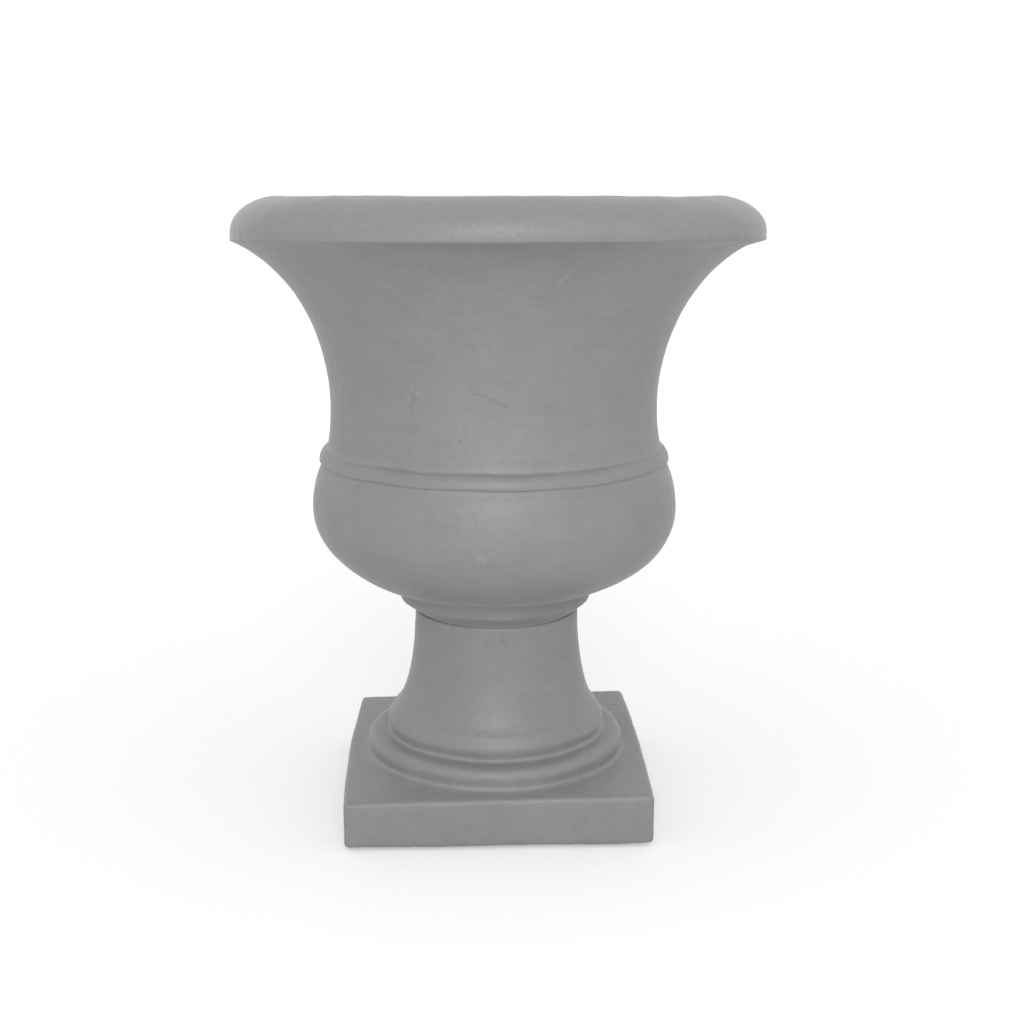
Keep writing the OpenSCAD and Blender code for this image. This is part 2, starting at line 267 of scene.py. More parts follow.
def moulding(r_out, z0, height, r_under, r_over):
    """The outer half of a round moulding that stands on z0, between the faces under and over it."""
    first = -meet_turn(r_out, height, r_under)
    last = meet_turn(r_out, height, r_over)
    points = []
    for i in range(CURVE_STEPS + 1):
        t = first + (last - first) * i / CURVE_STEPS
        points.append((r_out - height / 2 + height / 2 * math.cos(t), z0 + height / 2 * (1 + math.sin(t))))
    return points


# Steps and turns along an outline, the bend at which an edge or a crease counts in full, and how
# much less the corners of a square ring are softened.
WALK_STEP = 0.0004
SHORTEST_STEP = 0.0009
MOST_TURN = math.radians(11)
BEND_REACH = 0.004
FULL_BEND = math.radians(70)
SQUARE_SOFT_SHARE = 0.5

CAST_LAYERS = ("free", "square", "lean", "rise", "edge", "crease")
OutlinePoint = namedtuple("OutlinePoint", "radius height free longest square lean rise")


def no_stray(height):
    """No stray at any height, as on a casting that stands true."""
    return 0.0


def through(lines):
    """A stray that runs straight between (height, shift) pairs and keeps the last one above them."""

    def shifted(height):
        shift = lines[0][1]
        for (low, low_shift), (high, high_shift) in zip(lines, lines[1:]):
            shift += (high_shift - low_shift) * min(max((height - low) / (high - low), 0), 1)
        return shift

    return shifted


class Outline:
    """A closed outline in the plane of radius and height. Each point carries how freely the cast
    surface strays there, how far the next point may be, how square its ring is, how far it leans to
    the right and how far it rises towards the front."""

    def __init__(self):
        self.points = []

    def add(self, points, free, longest, square=0.0, lean=no_stray, rise=no_stray):
        """Adds points with one freedom, longest step and squareness, and a lean and rise by height."""
        for radius, height in points:
            self.points.append(OutlinePoint(radius, height, free, longest, square, lean(height),
                                            rise(height)))

    def walk(self):
        """Puts points at even short steps all round the outline."""
        walked = []
        for start, end in zip(self.points, self.points[1:] + self.points[:1]):
            count = max(1, round(math.dist(start[:2], end[:2]) / WALK_STEP))
            for i in range(count):
                walked.append(OutlinePoint(*(a + (b - a) * i / count for a, b in zip(start, end))))
        self.points = walked

    def soften(self, reach):
        """Rounds the corners where the surface may stray, by averaging over the reach on both sides,
        and over a share of it where the rings are square."""
        softened = []
        for i, point in enumerate(self.points):
            if point.free == 0:
                softened.append(point)
                continue
            wide = max(1, round(reach * (1 - point.square * SQUARE_SOFT_SHARE) / WALK_STEP))
            near = [self.points[(i + k) % len(self.points)] for k in range(-wide, wide + 1)]
            radius = sum(each.radius for each in near) / len(near)
            height = sum(each.height for each in near) / len(near)
            softened.append(point._replace(radius=radius, height=height))
        self.points = softened

    def bends(self):
        """How sharply the outline turns out (above 0) or in (below 0) at each point."""
        wide = round(BEND_REACH / WALK_STEP)
        found = []
        for i, point in enumerate(self.points):
            here = Vector(point[:2])
            a = here - Vector(self.points[i - wide][:2])
            b = Vector(self.points[(i + wide) % len(self.points)][:2]) - here
            found.append(math.atan2(a.cross(b), a.dot(b)))
        return found

    def thin(self, bends):
        """Keeps the points that the longest steps and the turns need, as (point, bend) pairs."""
        kept = [(self.points[0], bends[0])]
        turned = 0.0
        for i in range(1, len(self.points) - 1):
            here = self.points[i]
            a = Vector(here[:2]) - Vector(self.points[i - 1][:2])
            b = Vector(self.points[i + 1][:2]) - Vector(here[:2])
            turned += a.angle(b, 0.0)
            gap = math.dist(here[:2], kept[-1][0][:2])
            if gap >= here.longest or (turned >= MOST_TURN and gap >= SHORTEST_STEP):
                kept.append((here, bends[i]))
                turned = 0.0
        return kept


def spun(outline, soft_edge, columns):
    """Spins a closed outline into a ring-shaped casting, with its shares kept on the vertices."""
    outline.walk()
    outline.soften(soft_edge)
    bm = bmesh.new()
    layers = {name: bm.verts.layers.float.new(name) for name in CAST_LAYERS}
    verts = []
    for point, bend in outline.thin(outline.bends()):
        vert = bm.verts.new((point.radius, 0, point.height))
        vert[layers["free"]] = point.free
        vert[layers["square"]] = point.square
        vert[layers["lean"]] = point.lean
        vert[layers["rise"]] = point.rise
        vert[layers["edge"]] = min(max(bend, 0) / FULL_BEND, 1)
        vert[layers["crease"]] = min(max(-bend, 0) / FULL_BEND, 1)
        verts.append(vert)
    edges = [bm.edges.new(pair) for pair in zip(verts, verts[1:] + verts[:1])]
    spin(bm, verts + edges, columns)
    return bm


def spin(bm, geometry, columns):
    """Spins an outline a full turn round the Z axis and turns its faces outwards."""
    bmesh.ops.spin(bm, geom=geometry, cent=(0, 0, 0), axis=(0, 0, 1), dvec=(0, 0, 0), angle=FULL_TURN,
                   steps=columns, use_merge=True, use_normal_flip=False, use_duplicate=False)
    bmesh.ops.recalc_face_normals(bm, faces=bm.faces)


# The fine part of the lumps, the noise under which nothing chips, and the pattern of the waver.
FINE_SHARE = 0.35
CHIP_LEVEL = 0.15
WAVER_OFFSET = Vector((9.1, 4.4, 0))
WAVER_SQUASH = Vector((1, 1, 0.2))


def stray(bm, surface):
    """Moves every vertex of a casting by its unevenness, chips, wavering lines, lean and rise."""
    free, square, lean, rise, edge, _ = (bm.verts.layers.float[name] for name in CAST_LAYERS)
    bm.normal_update()
    for vert in bm.verts:
        amount = vert[free]
        if amount == 0:
            continue
        place = vert.co.copy()
        lumps = noise.noise(place / surface.lump_length)
        fine = noise.noise(place / surface.lump_length / FINE_SHARE)
        out = surface.sway * noise.noise(place / surface.sway_length)
        out += surface.lump * (lumps + FINE_SHARE * fine)
        out -= surface.chip * max(noise.noise(place / surface.chip_length) - CHIP_LEVEL, 0) * vert[edge]
        waver = surface.waver * noise.noise(place * WAVER_SQUASH / surface.waver_length + WAVER_OFFSET)
        vert.co = place + vert.normal * out * amount
        vert.co.z += waver * amount * (1 - vert[square]) - vert[rise] * place.y / BOWL_HIGH.x
        vert.co.x += vert[lean]


def new_piece(bm, name, body, material, replaced):
    """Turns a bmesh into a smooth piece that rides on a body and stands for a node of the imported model."""
    mesh = bpy.data.meshes.new(name)
    bm.to_mesh(mesh)
    bm.free()
    mesh.shade_smooth()
    mesh.materials.append(material)
    piece = bpy.data.objects.new(name, mesh)
    bpy.context.scene.collection.objects.link(piece)
    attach(piece, body)
    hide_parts(replaced)
    return piece


HOLE_SIDES = 64


def cylinder(bm, x, y, radius, low, high):
    """Adds an upright cylinder, which cuts a round hole, to a bmesh."""
    middle = Matrix.Translation((x, y, (low + high) / 2))
    bmesh.ops.create_cone(bm, cap_ends=True, segments=HOLE_SIDES, radius1=radius, radius2=radius,
                          depth=high - low, matrix=middle)


def carve(piece, cutters):
    """Takes the cutters' volume out of a piece, and stops if nothing was cut."""
    mesh = bpy.data.meshes.new("cutters")
    cutters.to_mesh(mesh)
    cutters.free()
    tool = bpy.data.objects.new("cutters", mesh)
    bpy.context.scene.collection.objects.link(tool)
    cut = piece.modifiers.new("holes", "BOOLEAN")
    cut.object = tool
    cut.solver = "EXACT"
    cut.operation = "DIFFERENCE"
    graph = bpy.context.evaluated_depsgraph_get()
    carved = bpy.data.meshes.new_from_object(piece.evaluated_get(graph))
    piece.modifiers.clear()
    whole = piece.data
    if len(carved.polygons) <= len(whole.polygons):
        raise RuntimeError("no hole was cut in " + piece.name)
    piece.data = carved
    carved.name = piece.name
    bpy.data.objects.remove(tool)
    bpy.data.meshes.remove(mesh)
    bpy.data.meshes.remove(whole)


def dowel_holes(fittings):
    """Upright holes for both dowels, a little wider and longer than the dowels."""
    holes = bmesh.new()
    place = (DOWEL_LOW + DOWEL_HIGH) / 2
    radius = (DOWEL_HIGH.x - DOWEL_LOW.x) / 2 + fittings.hole_gap
    for side in (-1, 1):
        cylinder(holes, side * place.x, 0, radius, DOWEL_LOW.z, DOWEL_HIGH.z + fittings.hole_over)
    return holes


# The bead is widest a sixth of its height above the crease and starts a thirtieth above it, and it
# meets both neighbours a quarter of its depth out from their faces.
BEAD_WIDEST_PART = 6
BEAD_ROOT_PART = 30
BEAD_SET_SHARE = 0.25
# Where the inside turns, as shares of the lip's height and of the wall.
INNER_FLARE_SHARE = 0.3
INNER_FLOOR_SHARE = 0.8
# How freely the inside and the collar stray, beside 1 on the outside.
INNER_FREE = 1.4
COLLAR_FREE = 0.6


def bowl_outline(s, surface):
    """The bowl's outline: up its outside from the seat, over the lip and down its inside to the spigot."""
    face = surface.face_spacing
    inner = surface.inner_spacing
    lip_radius = BOWL_HIGH.x
    seat_z = GASKET_HIGH.z
    crest_z = BOWL_HIGH.z - surface.crest_wear
    spigot_end_z = BOWL_LOW.z
    spigot_radius = s.spigot_bore + s.spigot_wall
    collar_z = seat_z + s.cove_height
    collar_top_z = collar_z + s.collar_height
    lip_z = BOWL_HIGH.z - s.lip_height
    widest_z = BOWL_HIGH.z - s.lip_drop
    neck_z = lip_z - s.soffit_height - s.flare_height
    bead_top_z = neck_z - s.neck_height
    crease_z = bead_top_z - s.bead_height
    belly_z = crease_z - s.belly_top_height
    neck_turn = math.asin(s.neck_height * math.sin(s.flare_turn) / s.flare_height)
    neck_spread = (1 - math.cos(neck_turn)) / (1 - math.cos(s.flare_turn))
    neck_foot_radius = s.neck_radius + (s.flare_top_radius - s.neck_radius) * neck_spread
    bead_full_z = crease_z + s.bead_height / BEAD_WIDEST_PART
    bead_low_z = crease_z + s.bead_height / BEAD_ROOT_PART
    bead_root_radius = s.crease_radius + (s.bead_radius - s.crease_radius) * BEAD_SET_SHARE
    bead_shoulder_radius = neck_foot_radius + (s.bead_radius - neck_foot_radius) * BEAD_SET_SHARE
    inner_neck_radius = s.neck_radius - s.wall
    inner_belly_radius = s.belly_radius - s.wall
    inner_waist_radius = neck_foot_radius - s.wall
    inner_flare_z = lip_z + s.lip_height * INNER_FLARE_SHARE
    inner_low_z = collar_top_z + s.wall * INNER_FLOOR_SHARE

    low_lines = [(seat_z, 0), (collar_top_z, surface.collar_shift),
                 (collar_top_z + s.collar_height, surface.underbelly_shift), (belly_z, surface.belly_shift),
                 (neck_z, surface.neck_shift)]
    outer_lean = through(low_lines + [(neck_z + s.flare_height, surface.flare_shift),
                                      (lip_z + s.arris_radius, surface.lip_shift)])
    inner_lean = through(low_lines + [(crest_z - s.mouth_edge, surface.lip_shift)])
    outer_rise = through([(neck_z, 0), (lip_z, surface.edge_rise), (crest_z, surface.crest_rise)])
    inner_rise = through([(neck_z, 0), (crest_z, surface.crest_rise)])

    outside = [
        back(curve(s.belly_radius, belly_z, s.collar_radius, collar_top_z - belly_z, s.belly_low_turn)),
        curve(s.belly_radius, belly_z, s.crease_radius, s.belly_top_height, s.belly_top_turn),
        back(curve(s.bead_radius, bead_full_z, bead_root_radius, bead_low_z - bead_full_z, s.bead_turn)),
        curve(s.bead_radius, bead_full_z, bead_shoulder_radius, bead_top_z - bead_full_z, s.bead_turn),
        back(curve(s.neck_radius, neck_z, neck_foot_radius, -s.neck_height, neck_turn)),
        curve(s.neck_radius, neck_z, s.flare_top_radius, s.flare_height, s.flare_turn),
        back(curve(lip_radius, lip_z + s.arris_radius, lip_radius - s.arris_radius, -s.arris_radius,
                   RIGHT_ANGLE)),
        curve(lip_radius, widest_z, s.mouth_radius + s.mouth_edge + s.crest_width, crest_z - widest_z,
              s.lip_turn),
        back(curve(s.mouth_radius, crest_z - s.mouth_edge, s.mouth_radius + s.mouth_edge, s.mouth_edge,
                   RIGHT_ANGLE)),
    ]
    inside = [
        back(curve(inner_neck_radius, neck_z, s.mouth_radius, inner_flare_z - neck_z, s.flare_turn)),
        curve(inner_neck_radius, neck_z, inner_waist_radius, -s.neck_height, neck_turn),
        back(curve(inner_belly_radius, belly_z, inner_waist_radius, bead_top_z - belly_z,
                   s.inner_top_turn)),
        curve(inner_belly_radius, belly_z, s.spigot_bore, inner_low_z - belly_z, s.inner_low_turn),
    ]
    outline = Outline()
    outline.add([(s.seat_radius, seat_z)], 0, face)
    outline.add([(s.collar_radius, collar_z)], COLLAR_FREE, face, lean=outer_lean)
    for points in outside:
        outline.add(points, 1, face, lean=outer_lean, rise=outer_rise)
    for points in inside:
        outline.add(points, INNER_FREE, inner, lean=inner_lean, rise=inner_rise)
    outline.add([(s.spigot_bore, seat_z), (s.spigot_bore, spigot_end_z)], 0, inner)
    outline.add([(spigot_radius, spigot_end_z), (spigot_radius, seat_z)], 0, inner)
    return outline


class URN_OT_bowl(bpy.types.Operator):
    """Model the bowl: lip, flared neck, bead, belly, collar and spigot in one casting"""
    bl_idname = "urn.bowl"
    bl_label = "Bowl"

    def execute(self, context):
        sizes = context.scene.urn_bowl
        surface = context.scene.urn_surface
        bm = spun(bowl_outline(sizes, surface), surface.soft_edge, surface.columns)
        stray(bm, surface)
        bowl = new_piece(bm, "urn_bowl", "bowl", stone(context), "bowl")
        carve(bowl, dowel_holes(context.scene.urn_fittings))
        return {"FINISHED"}


# Points at the stem's top that don't stray, and the closer spacing on the plinth's top.
STEM_CALM_POINTS = 4
TOP_FACE_SHARE = 0.5
# How far the hollow's dome spreads past the stem's top, how far the fillet's foot stands out, and
# the calm ring of the floor round the drain hole.
DOME_SPREAD_SHARE = 0.125
FILLET_FOOT_SHARE = 0.25
DRAIN_RING_SHARE = 2
QUARTER_STEPS = 8


def quarter_round():
    """Even steps through a right angle."""
    return [RIGHT_ANGLE * i / QUARTER_STEPS for i in range(QUARTER_STEPS + 1)]


def plinth_top(s):
    """Height of the plinth's top, worked down from the top of the stem."""
    mouldings = s.foot_edge_height + s.upper_torus_height + s.groove_height + s.lower_torus_height
    return PEDESTAL_HIGH.z - s.stem_height - mouldings - s.fillet_height


def pedestal_outline(s, bowl, surface):
    """The pedestal's outline: from the drain's sunk ring along the underside, up plinth, tori and stem,
    then down the bore, bell and cavity to the floor and the drain hole."""
    face = surface.face_spacing
    inner = surface.inner_spacing
    half_plinth = PEDESTAL_HIGH.x
    plinth_z = PEDESTAL_LOW.z
    stem_top_z = PEDESTAL_HIGH.z
    stem_z = stem_top_z - s.stem_height
    upper_torus_z = stem_z - s.foot_edge_height - s.upper_torus_height
    groove_z = upper_torus_z - s.groove_height
    lower_torus_z = groove_z - s.lower_torus_height
    plinth_top_z = plinth_top(s)
    floor_z = plinth_z + s.floor_thickness
    bore_radius = bowl.spigot_bore + bowl.spigot_wall + s.bore_gap
    bore_z = BOWL_LOW.z - bowl.spigot_wall - (GASKET_HIGH.z - GASKET_LOW.z)
    cavity_wall_z = (floor_z + plinth_top_z) / 2
    dome_top_z = plinth_top_z + s.lower_torus_height / 2
    dome_radius = s.stem_radius + (s.stem_foot_radius - s.stem_radius) * DOME_SPREAD_SHARE
    edge = s.plinth_edge
    low_edge = [(half_plinth - edge + edge * math.sin(t), plinth_z + edge - edge * math.cos(t))
                for t in quarter_round()]
    high_edge = [(half_plinth - edge + edge * math.cos(t), plinth_top_z - edge + edge * math.sin(t))
                 for t in quarter_round()]
    stem = back(curve(s.stem_radius, stem_top_z, s.stem_foot_radius, -s.stem_height, s.stem_turn))
    bell = curve(bore_radius, bore_z, dome_radius, dome_top_z - bore_z, s.bell_turn)

    lean = through([(plinth_top_z, surface.plinth_shift), (stem_z, surface.foot_shift), (stem_top_z, 0)])

    outline = Outline()
    outline.add([(s.drain_low_radius, PLUG_LOW.z), (s.drain_sink_radius, PLUG_LOW.z)], 0, inner)
    outline.add([(s.drain_sink_radius, plinth_z), (half_plinth / 2, plinth_z)], 0, inner)
    outline.add(low_edge + high_edge[:-1], 1, face, square=1, lean=lean)
    outline.add(high_edge[-1:], 1, face * TOP_FACE_SHARE, square=1, lean=lean)
    outline.add([(s.fillet_radius + edge * FILLET_FOOT_SHARE, plinth_top_z)], 1, face, lean=lean)
    outline.add([(s.fillet_radius, plinth_top_z + s.fillet_height)], 1, face, lean=lean)
    outline.add(moulding(s.lower_torus_radius, lower_torus_z, s.lower_torus_height, s.fillet_radius,
                         s.groove_radius), 1, face, lean=lean)
    outline.add([(s.groove_radius, groove_z)], 1, face, lean=lean)
    outline.add(moulding(s.upper_torus_radius, upper_torus_z, s.upper_torus_height, s.groove_radius,
                         s.stem_foot_radius), 1, face, lean=lean)
    outline.add(stem[:-STEM_CALM_POINTS], 1, face, lean=lean)
    outline.add(stem[-STEM_CALM_POINTS:], 0, face)
    outline.add([(bore_radius, stem_top_z)] + bell[:1], 0, inner)
    outline.add(bell[1:], 1, inner)
    outline.add(back(curve(s.cavity_radius, cavity_wall_z, dome_radius, dome_top_z - cavity_wall_z,
                           RIGHT_ANGLE)), 1, inner)
    outline.add([(s.cavity_radius, floor_z)], 1, inner)
    outline.add([(s.drain_radius * DRAIN_RING_SHARE, floor_z), (s.drain_radius, floor_z)], 0, inner)
    return outline


PAD_SIDES = {"front_left": (-1, -1), "front_right": (1, -1), "back_left": (-1, 1), "back_right": (1, 1)}
# The share of the columns that goes round the plinth's corners, how much tighter those are on the
# rings inside the edge, and how close to the side faces the bow is kept.
CORNER_SHARE = 0.09
CORNER_INSET = 0.6
BOW_SHARPNESS = 4


def square_place(turn, half, corner):
    """The place at this turn on a square of this half-width. The columns beside each diagonal go
    round the corner, and the others are spread along the sides."""
    quarter = round(turn / RIGHT_ANGLE) * RIGHT_ANGLE
    share = (turn - quarter) / (RIGHT_ANGLE / 2)
    side = min(abs(share) / (1 - CORNER_SHARE), 1) * (half - corner)
    round_it = max(abs(share) - 1 + CORNER_SHARE, 0) / CORNER_SHARE * RIGHT_ANGLE / 2
    place = Vector((half - corner + corner * math.cos(round_it),
                    math.copysign(side + corner * math.sin(round_it), share), 0))
    return Matrix.Rotation(quarter, 3, "Z") @ place


def square_off(bm, sizes, surface):
    """Moves the plinth's rings from circles onto rounded squares with bowed sides and a tilted top,
    and marks the plinth's four corners as edges."""
    square = bm.verts.layers.float["square"]
    wear_and_painted_highlight = bm.verts.layers.float["edge"]
    half = PEDESTAL_HIGH.x
    height = plinth_top(sizes) - PEDESTAL_LOW.z
    for vert in bm.verts:
        if vert[square] == 0:
            continue
        ring = math.hypot(vert.co.x, vert.co.y)
        inset = min(half - ring, sizes.plinth_edge)
        turn = math.atan2(vert.co.y, vert.co.x)
        place = square_place(turn, ring, sizes.plinth_edge - CORNER_INSET * inset)
        bow = surface.plinth_right_bow if place.x > 0 else -surface.plinth_left_bow
        place.x += bow * (abs(place.x) / half) ** BOW_SHARPNESS * (1 - (place.y / half) ** 2)
        tilt = (surface.plinth_tilt * place.x + surface.plinth_back_tilt * place.y) / half
        place.z = vert.co.z + tilt * (vert.co.z - PEDESTAL_LOW.z) / height
        off_diagonal = abs(abs(turn) % RIGHT_ANGLE - RIGHT_ANGLE / 2) / (RIGHT_ANGLE / 2)
        if inset < sizes.plinth_edge and off_diagonal < CORNER_SHARE:
            # These corners are later lightened in the stone, partly as wear and partly as a painted
            # highlight.
            vert[wear_and_painted_highlight] = 1
        vert.co = vert.co.lerp(place, vert[square])


class URN_OT_pedestal(bpy.types.Operator):
    """Model the pedestal: stem, two tori and square plinth in one hollow casting"""
    bl_idname = "urn.pedestal"
    bl_label = "Pedestal"

    def execute(self, context):
        scene = context.scene
        surface = scene.urn_surface
        outline = pedestal_outline(scene.urn_pedestal, scene.urn_bowl, surface)
        bm = spun(outline, surface.foot_soft_edge, surface.columns)
        square_off(bm, scene.urn_pedestal, surface)
        stray(bm, surface)
        pedestal = new_piece(bm, "urn_pedestal", "pedestal", stone(context), "pedestal")
        holes = dowel_holes(scene.urn_fittings)
        pad = (PAD_LOW + PAD_HIGH) / 2
        pocket = (PAD_HIGH.x - PAD_LOW.x) / 2 + scene.urn_fittings.pocket_gap
        for x, y in PAD_SIDES.values():
            cylinder(holes, x * pad.x, y * abs(pad.y), pocket, PAD_LOW.z, PAD_HIGH.z)
        carve(pedestal, holes)
        return {"FINISHED"}


RUBBER_COLUMNS = 96
ROUNDING_STEPS = 3
KNOB_STEPS = 8
SHARP = math.radians(25)
# Where the grip grooves start, as shares of the pad's radius.
PAD_GROOVE_SHARES = (0.4, 0.72)


def turned_solid(points, edge):
    """A solid spun from an outline that runs from axis to axis, with its outer corners rounded."""
    bm = bmesh.new()
    verts = [bm.verts.new((radius, 0, height)) for radius, height in points]
    edges = [bm.edges.new(pair) for pair in zip(verts, verts[1:])]
    spin(bm, verts + edges, RUBBER_COLUMNS)
    bmesh.ops.remove_doubles(bm, verts=bm.verts, dist=edge / 1000)
    bmesh.ops.recalc_face_normals(bm, faces=bm.faces)
    corners = [each for each in bm.edges if each.calc_face_angle_signed() > SHARP]
    bmesh.ops.bevel(bm, geom=corners, offset=edge, segments=ROUNDING_STEPS, profile=0.5,
                    affect="EDGES", material=-1)
    return bm


class URN_OT_drain_plug(bpy.types.Operator):
    """Model the drain plug: a tapered rubber bung with a flange and a knob"""
    bl_idname = "urn.drain_plug"
    bl_label = "Drain Plug"

    def execute(self, context):
        s = context.scene.urn_fittings
        pedestal = context.scene.urn_pedestal
        floor_z = PEDESTAL_LOW.z + pedestal.floor_thickness
        flange_top_z = floor_z + s.flange_height
        knob_z = PLUG_HIGH.z - s.knob_height
        knob = curve(s.knob_radius, knob_z + s.knob_height / 2, s.knob_radius - s.knob_height / 2,
                     s.knob_height / 2, RIGHT_ANGLE, KNOB_STEPS)
        points = [(0, PLUG_LOW.z), (pedestal.drain_low_radius - s.plug_gap, PLUG_LOW.z),
                  (pedestal.drain_radius - s.plug_gap, floor_z), (PLUG_HIGH.x, floor_z),
                  (PLUG_HIGH.x, flange_top_z), (s.knob_neck_radius, flange_top_z),
                  (s.knob_neck_radius, knob_z), *knob, (0, PLUG_HIGH.z)]
        bm = turned_solid(points, s.rubber_edge)
        new_piece(bm, "bung", "drain_plug", rubber(context, "black_rubber"), "drain_plug")
        return {"FINISHED"}


class URN_OT_foot_pads(bpy.types.Operator):
    """Model the four rubber foot pads, each with two grip grooves in its underside"""
    bl_idname = "urn.foot_pads"
    bl_label = "Foot Pads"

    def execute(self, context):
        s = context.scene.urn_fittings
        radius = (PAD_HIGH.x - PAD_LOW.x) / 2
        points = [(0, 0)]
        for share in PAD_GROOVE_SHARES:
            start = radius * share
            end = start + s.pad_groove_width
            points += [(start, 0), (start, s.pad_groove_depth), (end, s.pad_groove_depth), (end, 0)]
        points += [(radius - s.pad_chamfer, 0), (radius, s.pad_chamfer), (radius, PAD_HIGH.z),
                   (0, PAD_HIGH.z)]
        centre = (PAD_LOW + PAD_HIGH) / 2
        for name, (x, y) in PAD_SIDES.items():
            bm = turned_solid(points, s.rubber_edge / 2)
            bmesh.ops.translate(bm, verts=bm.verts, vec=(x * centre.x, y * abs(centre.y), 0))
            new_piece(bm, f"pad_{name}", "pedestal", rubber(context, "black_rubber"),
                      f"foot_pad_{name}")
        return {"FINISHED"}


class URN_OT_gasket(bpy.types.Operator):
    """Give the neck gasket its dusty grey rubber, kept pale as painted light in the joint's shade"""
    bl_idname = "urn.gasket"
    bl_label = "Gasket"

    def execute(self, context):
        recover("neck_gasket", rubber(context, "grey_rubber_and_painted_light"))
        return {"FINISHED"}


class URN_OT_dowels(bpy.types.Operator):
    """Give both locating dowels their turned steel"""
    bl_idname = "urn.dowels"
    bl_label = "Dowels"

    def execute(self, context):
        material = steel(context)
        recover("dowel_left", material)
        recover("dowel_right", material)
        return {"FINISHED"}


def recover(node, material):
    """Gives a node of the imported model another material."""
    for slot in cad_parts[node].material_slots:
        slot.material = material


def add(tree, kind, values=None, links=None, **settings):
    """A node of this kind, with values on its sockets, links into them and its own settings."""
    node = tree.nodes.new(kind)
    for name, value in settings.items():
        setattr(node, name, value)
    for socket, value in (values or {}).items():
        node.inputs[socket].default_value = value
    for socket, source in (links or {}).items():
        tree.links.new(source, node.inputs[socket])
    return node


def between(tree, value, low, high, to_low, to_high):
    """Maps a range of a value onto another range, and holds it there."""
    mapped = add(tree, "ShaderNodeMapRange", {"From Min": low, "From Max": high, "To Min": to_low,
                                              "To Max": to_high}, {"Value": value})
    return mapped.outputs["Result"]


def grain(tree, place, size, detail, roughness=0.5):
    """Noise whose lumps have about this size in metres, spread over 0 to 1."""
    texture = add(tree, "ShaderNodeTexNoise", {"Scale": 1 / size, "Detail": detail, "Roughness": roughness},
                  {"Vector": place})
    return between(tree, texture.outputs["Fac"], 0.3, 0.7, 0, 1)


def combine(tree, operation, first, second):
    """Joins a value with a number or another value by a plain operation."""
    if isinstance(second, (int, float)):
        return add(tree, "ShaderNodeMath", {1: second}, {0: first}, operation=operation).outputs[0]
    return add(tree, "ShaderNodeMath", None, {0: first, 1: second}, operation=operation).outputs[0]


def highest(tree, values):
    """The highest of several values."""
    top = values[0]
    for value in values[1:]:
        top = combine(tree, "MAXIMUM", top, value)
    return top


def weighed(tree, shares):
    """The sum of values, each times its weight."""
    total = None
    for value, weight in shares:
        part = combine(tree, "MULTIPLY", value, weight)
        total = part if total is None else combine(tree, "ADD", total, part)
    return total


def mixed(tree, share, first, second):
    """A colour mixed from two, each a colour socket or plain numbers."""
    node = add(tree, "ShaderNodeMix", data_type="RGBA")
    tree.links.new(share, node.inputs[0])
    for socket, source in ((node.inputs[6], first), (node.inputs[7], second)):
        if isinstance(source, bpy.types.NodeSocket):
            tree.links.new(source, socket)
        else:
            socket.default_value = (*source, 1)
    return node.outputs[2]


def tinted(tree, tone, share, weight, towards):
    """A tone mixed towards a colour by a share times its weight."""
    return mixed(tree, combine(tree, "MULTIPLY", share, weight), tone, towards)


def bumped(tree, height, depth, normal=None):
    """A surface normal disturbed by a height, where 1 stands for this depth in metres."""
    links = {"Height": height}
    if normal is not None:
        links["Normal"] = normal
    return add(tree, "ShaderNodeBump", {"Strength": 1, "Distance": depth}, links).outputs["Normal"]


def near_point(tree, place, centre, reach):
    """1 at a place on the object, falling to 0 at this distance from it."""
    away = add(tree, "ShaderNodeVectorMath", {1: centre}, {0: place}, operation="DISTANCE").outputs["Value"]
    return between(tree, away, 0, reach, 1, 0)


def near_line(tree, place, start, end, reach):
    """1 on a straight line between two places, falling to 0 at this distance from it."""
    along = Vector(end) - Vector(start)
    offset = add(tree, "ShaderNodeVectorMath", {1: start}, {0: place}, operation="SUBTRACT").outputs[0]
    dot = add(tree, "ShaderNodeVectorMath", {1: along / along.length_squared}, {0: offset},
              operation="DOT_PRODUCT").outputs["Value"]
    share = between(tree, dot, 0, 1, 0, 1)
    reached = add(tree, "ShaderNodeVectorMath", {0: along}, {"Scale": share}, operation="SCALE").outputs[0]
    away = add(tree, "ShaderNodeVectorMath", None, {0: offset, 1: reached}, operation="DISTANCE")
    return between(tree, away.outputs["Value"], 0, reach, 1, 0)


def marks(tree, place, lines, width, strength):
    """Lines of this width, times a strength that breaks them up."""
    drawn = highest(tree, [near_line(tree, place, start, end, width) for start, end in lines])
    return combine(tree, "MULTIPLY", drawn, strength)


def kept_share(tree, name):
    """A share that the casting keeps on its vertices."""
    return add(tree, "ShaderNodeAttribute", attribute_name=name).outputs["Fac"]


def new_material(name):
    """A new node material, with its tree, its shader and the place on the object."""
    found = bpy.data.materials.new(name)
    found.use_nodes = True
    tree = found.node_tree
    return found, tree, tree.nodes["Principled BSDF"], add(tree, "ShaderNodeTexCoord").outputs["Object"]


StoneGrain = namedtuple("StoneGrain", "size detail roughness share depth")

# Each grain's size in metres, its detail and roughness, its share in the tone and its bump's depth.
STONE_GRAINS = {
    "broad": StoneGrain(0.09, 2, 0.5, 0.2, 0),
    "clouds": StoneGrain(0.022, 4, 0.6, 0.22, 0.00035),
    "blotches": StoneGrain(0.006, 3, 0.6, 0.2, 0.00016),
    "specks": StoneGrain(0.0017, 2, 0.5, 0.16, 0.00006),
    "streaks": StoneGrain(0.04, 4, 0.65, 0.22, 0.00012),
}
STREAK_SCALE = (1, 1, 7)
